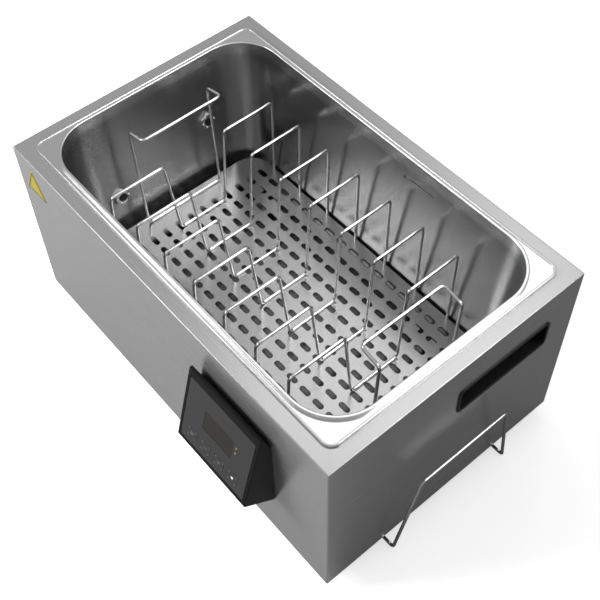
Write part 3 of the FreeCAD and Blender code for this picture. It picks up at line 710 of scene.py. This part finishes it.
bent_wire = wire_tree()
rack_wire = bright_metal("rack_polished_wire", 0.85, 0.12)
rack_diameter = 0.004
rack_bend = 0.006
first_low, first_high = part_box("divider_1")
second_low, second_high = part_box("divider_2")
divider_x = (first_low.x + first_high.x) / 2
hump_z = first_high.z - rack_diameter / 2
valley_z = plate_top + rack_diameter / 2
divider_route = [
    (-0.1270, plate_top), (-0.1214, hump_z), (-0.0431, hump_z), (-0.0305, valley_z),
    (0.0423, valley_z), (0.0501, hump_z), (0.1281, hump_z), (0.1270, plate_top),
]
divider_points = [Vector((divider_x, rack_middle.y + y, z)) for y, z in divider_route]
dividers = made_by_tree("rack_dividers", corner_line("divider_line", divider_points), bent_wire, {
    "Wire diameter": rack_diameter, "Bend radius": rack_bend, "Copies": 7,
    "Copy pitch": second_low.x - first_low.x, "Finish": rack_wire,
})
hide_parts(*[f"divider_{k}" for k in range(1, 8)])
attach(dividers, "rack")

handle_half = 0.059
handle_lean = 0.0068
handle_arm = 0.0285
handle_knee_z = plate_top + 0.1646
handle_grip_z = handle_knee_z + 0.0067
rail_x = 0.2135
for side, word in ((-1, "left"), (1, "right")):
    rail = rack_middle.x + side * rail_x
    knee = rail + side * handle_lean
    grip = knee - side * handle_arm
    side_route = [(rail, valley_z), (knee, handle_knee_z), (grip, handle_grip_z)]
    loop = [Vector((x, rack_middle.y - handle_half, z)) for x, z in side_route]
    loop += [Vector((x, rack_middle.y + handle_half, z)) for x, z in reversed(side_route)]
    handle = made_by_tree(f"handle_{word}", corner_line("handle_line", loop, closed=True), bent_wire, {
        "Wire diameter": rack_diameter, "Bend radius": rack_bend, "Copies": 1, "Finish": rack_wire,
    })
    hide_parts(f"rack_handle_{word}")
    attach(handle, "rack")


# ---------------------------------------------------------------------------------------------
# Lid bracket: one length of drawn wire, bent square and plugged into two sockets under the casing.
# It carries the lid when that is off.

bracket_low, bracket_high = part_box("lid_bracket")
bracket_y = casing_middle.y + 0.002
bracket_foot_z = 0.0055
bracket_top_z = 0.143
foot_half = 0.091
top_half = 0.0645
foot_x = casing_high.x + 0.012
top_x = casing_high.x + 0.0185
bracket_route = [
    (bracket_low.x, -foot_half, bracket_foot_z), (foot_x, -foot_half, bracket_foot_z),
    (top_x, -top_half, bracket_top_z), (top_x, top_half, bracket_top_z),
    (foot_x, foot_half, bracket_foot_z), (bracket_low.x, foot_half, bracket_foot_z),
]
bracket_points = [Vector((x, bracket_y + y, z)) for x, y, z in bracket_route]
bracket = made_by_tree("bracket_wire", corner_line("bracket_line", bracket_points), bent_wire, {
    "Wire diameter": 0.004, "Bend radius": 0.005, "Copies": 1,
    "Finish": bright_metal("bracket_wire", 0.55, 0.16),
})
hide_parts("lid_bracket")
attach(bracket, "bracket")


# ---------------------------------------------------------------------------------------------
# Floor: a sheet of pale paper. Reflections and bounced light see it mid grey, so that it doesn't
# wash out the steel.

scene.view_settings.view_transform = "Standard"
reach = 6.0
floor_data = bpy.data.meshes.new("floor")
floor_corners = [(-reach, -reach, 0), (reach, -reach, 0), (reach, reach, 0), (-reach, reach, 0)]
floor_data.from_pydata(floor_corners, [], [(0, 1, 2, 3)])
floor = bpy.data.objects.new("floor", floor_data)
scene.collection.objects.link(floor)
paper, paper_shader, paper_start = new_finish("floor_paper", {"Roughness": 0.8, "Emission Strength": 0.6})
fibres = noise(object_point(paper_start, (20.0, 20.0, 20.0)))
feed(paper_shader, "Base Color", fibres.mix(*shades_of(grey(1.0), 0.90, 0.92)))
feed(paper_shader, "Emission Color", fibres.mix(*shades_of(grey(1.0), 0.98, 1.0)))
seen = paper_start.node("ShaderNodeLightPath", output=0)
shaded = paper_start.node("ShaderNodeBsdfDiffuse", None, {"Color": grey(0.35) + (1.0,)})
lit = Shade(paper_start.tree, paper_shader.outputs[0])
both = paper_start.node("ShaderNodeMixShader", None, {0: seen, 1: shaded, 2: lit})
paper_start.tree.links.new(both.socket, paper_start.tree.nodes["Material Output"].inputs[0])
floor_data.materials.append(paper)
floor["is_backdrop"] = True


# ---------------------------------------------------------------------------------------------
# Light: a white room, a large key light that doesn't show in the steel, a soft overhead panel, and
# two side panels that show only in the steel.

world = bpy.data.worlds.new("studio")
world.use_nodes = True
world.node_tree.nodes["Background"].inputs["Color"].default_value = (1, 1, 1, 1)
world.node_tree.nodes["Background"].inputs["Strength"].default_value = 0.40
scene.world = world


def softbox(name, place, aim, width, height, power):
    """Rectangular area light at place, facing aim."""
    light = bpy.data.lights.new(name, "AREA")
    light.shape = "RECTANGLE"
    light.size = width
    light.size_y = height
    light.energy = power
    box = bpy.data.objects.new(name, light)
    scene.collection.objects.link(box)
    box.location = place
    box.rotation_mode = "QUATERNION"
    box.rotation_quaternion = (Vector(aim) - Vector(place)).to_track_quat("-Z", "Y")
    return box


softbox("overhead_light", (-0.42, 0.80, 1.8), (-0.05, 0.4, 0.2), 1.0, 0.9, 4.2)
key_light = softbox("key_light", (-1.6, -1.8, 1.5), (0.0, 0.0, 0.1), 1.6, 1.6, 105)
key_light.visible_glossy = False
right_light = softbox("right_light", (0.95, 0.80, 1.8), (0.0, 0.0, 0.25), 0.7, 0.7, 13)
right_light.visible_diffuse = False
left_light = softbox("left_light", (-0.95, -0.90, 1.5), (-0.1, 0.0, 0.25), 0.6, 0.6, 8)
left_light.visible_diffuse = False


# ---------------------------------------------------------------------------------------------
# Camera: above the front right corner, looking down into the bath and slightly rolled.

camera = bpy.data.cameras.new("camera")
camera.sensor_width = 36.0
camera.lens = 64.10124
camera.shift_x = 0.0310
camera.shift_y = -0.0757
eye = bpy.data.objects.new("camera", camera)
scene.collection.objects.link(eye)
eye_right = 0.6173
eye_front = 0.4813
eye_z = 1.1847
turn = math.radians(52.2748)
tilt = math.radians(51.6733)
roll = math.radians(-2.6984)
forward = Vector((-math.sin(turn) * math.cos(tilt), math.cos(turn) * math.cos(tilt), -math.sin(tilt)))
level = forward.cross(Vector((0, 0, 1))).normalized()
down = forward.cross(level)
right = level * math.cos(roll) - down * math.sin(roll)
up = -(level * math.sin(roll) + down * math.cos(roll))
eye.matrix_world = Matrix((
    (right.x, up.x, -forward.x, casing_middle.x + eye_right),
    (right.y, up.y, -forward.y, casing_middle.y - eye_front),
    (right.z, up.z, -forward.z, eye_z),
    (0, 0, 0, 1),
))
scene.camera = eye


# ---------------------------------------------------------------------------------------------
# Sizes: the box of the finished model.

low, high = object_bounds()
